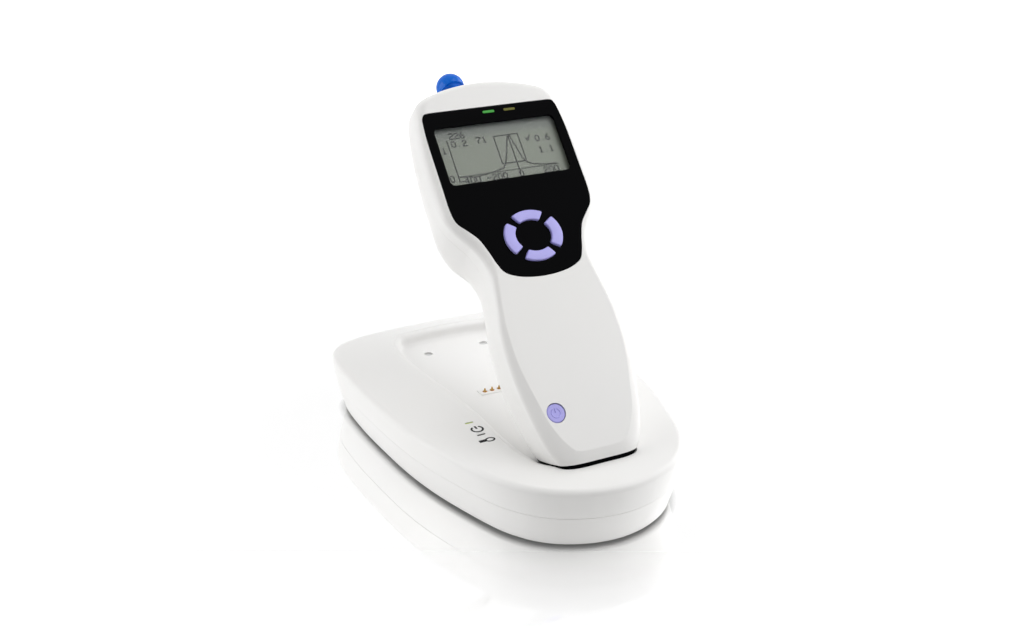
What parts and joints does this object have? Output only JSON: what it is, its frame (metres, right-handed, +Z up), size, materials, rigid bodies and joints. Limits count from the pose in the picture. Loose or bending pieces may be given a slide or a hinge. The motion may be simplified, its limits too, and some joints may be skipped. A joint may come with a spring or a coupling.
{
  "type": "tympanometer",
  "caption": "Handheld middle-ear tester with a display, ring keys, a probe with an ear tip and a charging cradle that it stands in.",
  "frame": {"origin": "on the ground under the middle of the cradle's footprint", "axes": "+Y from the cradle's round front to its wide back, +Z up, +X to the right seen from the front"},
  "size_m": [0.1344, 0.2022, 0.1726],
  "materials": {
    "white_plastic": "satin, slightly warm white",
    "black_gloss": "high gloss",
    "black_plastic": "satin",
    "clear_lens": "clear",
    "screen_grey": "grey-green liquid crystal",
    "key_purple": "satin lavender",
    "green_light": "lit green light pipe",
    "yellow_light": "dim yellow light pipe",
    "dark_light": "unlit light pipe",
    "board_green": "solder mask",
    "battery_blue": "shrink sleeve",
    "frame_grey": "moulded",
    "grey_plastic": "moulded",
    "rubber_grey": "matt",
    "blue_rubber": "shiny silicone",
    "gold": "gold plated",
    "brass": "turned",
    "steel": "plain"
  },
  "bodies": {
    "cradle": {"cradle_top": "white_plastic", "cradle_base": "white_plastic", "contact_block": "white_plastic", "charger_board": "board_green", "power_socket": "black_plastic", "data_socket": "steel", "ballast_plate": "steel", "foot_1": "rubber_grey", "foot_2": "rubber_grey", "foot_3": "rubber_grey", "foot_4": "rubber_grey", "base_screw_1": "steel", "base_screw_2": "steel", "base_screw_3": "steel", "base_screw_4": "steel", "rest_pad_1": "rubber_grey", "rest_pad_2": "rubber_grey", "charge_light": "dark_light", "mains_light": "green_light"},
    "handset": {"front_shell": "white_plastic", "back_shell": "white_plastic", "ir_window": "black_gloss", "display_panel": "black_gloss", "screen_lens": "clear_lens", "lcd_module": "screen_grey", "status_light_green": "green_light", "status_light_yellow": "yellow_light", "main_board": "board_green", "battery_pack": "battery_blue", "case_screw_1": "steel", "case_screw_2": "steel", "case_screw_3": "steel", "case_screw_4": "steel", "pump_frame": "frame_grey", "pump_motor": "steel", "pump_cylinder": "brass", "valve_block": "frame_grey", "air_tube": "rubber_grey", "probe_body": "white_plastic", "probe_tip": "grey_plastic", "charge_strip": "grey_plastic"},
    "key_up": {"key_up": "key_purple"},
    "key_down": {"key_down": "key_purple"},
    "key_left": {"key_left": "key_purple"},
    "key_right": {"key_right": "key_purple"},
    "power_key": {"power_key": "key_purple"},
    "contact_pin_1": {"contact_pin_1": "gold"},
    "contact_pin_2": {"contact_pin_2": "gold"},
    "contact_pin_3": {"contact_pin_3": "gold"},
    "contact_pin_4": {"contact_pin_4": "gold"},
    "contact_pin_5": {"contact_pin_5": "gold"},
    "contact_pin_6": {"contact_pin_6": "gold"},
    "nose_cone": {"nose_cone": "white_plastic"},
    "ear_tip": {"ear_tip": "blue_rubber"},
    "battery_door": {"battery_door": "white_plastic"}
  },
  "joints": [
    {"name": "handset_lift", "type": "slide", "parent": "cradle", "child": "handset", "axis": [0, 0.6691, 0.7431], "range_m": [0, 0.06]},
    {"name": "key_up_press", "type": "slide", "parent": "handset", "child": "key_up", "axis": [0, 0.7431, -0.6691], "range_m": [0, 0.0008], "stiffness_N_per_m": 400, "springref_m": -0.0004},
    {"name": "key_down_press", "type": "slide", "parent": "handset", "child": "key_down", "axis": [0, 0.7431, -0.6691], "range_m": [0, 0.0008], "stiffness_N_per_m": 400, "springref_m": -0.0004},
    {"name": "key_left_press", "type": "slide", "parent": "handset", "child": "key_left", "axis": [0, 0.7431, -0.6691], "range_m": [0, 0.0008], "stiffness_N_per_m": 400, "springref_m": -0.0004},
    {"name": "key_right_press", "type": "slide", "parent": "handset", "child": "key_right", "axis": [0, 0.7431, -0.6691], "range_m": [0, 0.0008], "stiffness_N_per_m": 400, "springref_m": -0.0004},
    {"name": "power_key_press", "type": "slide", "parent": "handset", "child": "power_key", "axis": [0, 0.7431, -0.6691], "range_m": [0, 0.0008], "stiffness_N_per_m": 400, "springref_m": -0.0004},
    {"name": "contact_pin_1_press", "type": "slide", "parent": "cradle", "child": "contact_pin_1", "axis": [0, 0, -1], "range_m": [0, 0.001], "stiffness_N_per_m": 150, "springref_m": -0.0005},
    {"name": "contact_pin_2_press", "type": "slide", "parent": "cradle", "child": "contact_pin_2", "axis": [0, 0, -1], "range_m": [0, 0.001], "stiffness_N_per_m": 150, "springref_m": -0.0005},
    {"name": "contact_pin_3_press", "type": "slide", "parent": "cradle", "child": "contact_pin_3", "axis": [0, 0, -1], "range_m": [0, 0.001], "stiffness_N_per_m": 150, "springref_m": -0.0005},
    {"name": "contact_pin_4_press", "type": "slide", "parent": "cradle", "child": "contact_pin_4", "axis": [0, 0, -1], "range_m": [0, 0.001], "stiffness_N_per_m": 150, "springref_m": -0.0005},
    {"name": "contact_pin_5_press", "type": "slide", "parent": "cradle", "child": "contact_pin_5", "axis": [0, 0, -1], "range_m": [0, 0.001], "stiffness_N_per_m": 150, "springref_m": -0.0005},
    {"name": "contact_pin_6_press", "type": "slide", "parent": "cradle", "child": "contact_pin_6", "axis": [0, 0, -1], "range_m": [0, 0.001], "stiffness_N_per_m": 150, "springref_m": -0.0005},
    {"name": "nose_cone_unscrew", "type": "hinge", "parent": "handset", "child": "nose_cone", "pos_m": [0, 0.05727, 0.15727], "axis": [0, 0.9205, 0.3907], "range_deg": [0, 270]},
    {"name": "ear_tip_pull_off", "type": "slide", "parent": "handset", "child": "ear_tip", "axis": [0, 0.9205, 0.3907], "range_m": [0, 0.02]},
    {"name": "battery_door_lift", "type": "slide", "parent": "handset", "child": "battery_door", "axis": [0, 0.7431, -0.6691], "range_m": [0, 0.01]}
  ]
}
